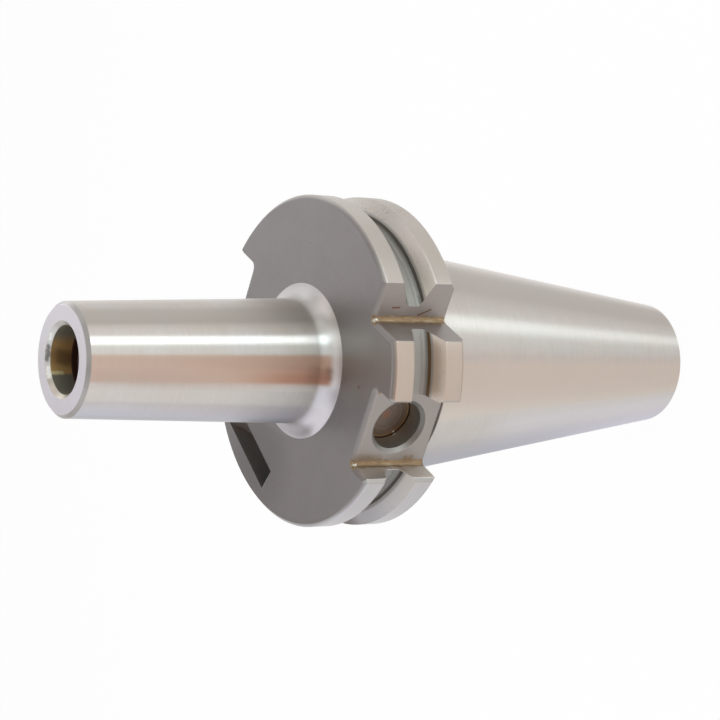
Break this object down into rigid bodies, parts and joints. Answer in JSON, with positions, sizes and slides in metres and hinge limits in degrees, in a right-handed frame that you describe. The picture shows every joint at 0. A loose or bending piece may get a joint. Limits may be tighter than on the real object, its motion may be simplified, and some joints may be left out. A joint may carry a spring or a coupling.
{
  "type": "screw-in cutter holder",
  "caption": "Steep-taper spindle holder with a gripper flange and a slim bored nose that screw-in milling cutters thread into.",
  "frame": {"origin": "centre of the gauge plane, where the steep taper is 44.45 mm across, on the spindle axis", "axes": "+Z along the spindle axis towards the cutter end, +X out through the drive slot that has the chip pocket, +Y makes it right-handed"},
  "size_m": [0.0612, 0.0636, 0.1375],
  "materials": {
    "ground_steel": "hardened steel, fine-ground taper and nose, satin milled flange, some light rust in the inner corners"
  },
  "bodies": {
    "root": {"holder_body": "ground_steel"}
  },
  "joints": []
}
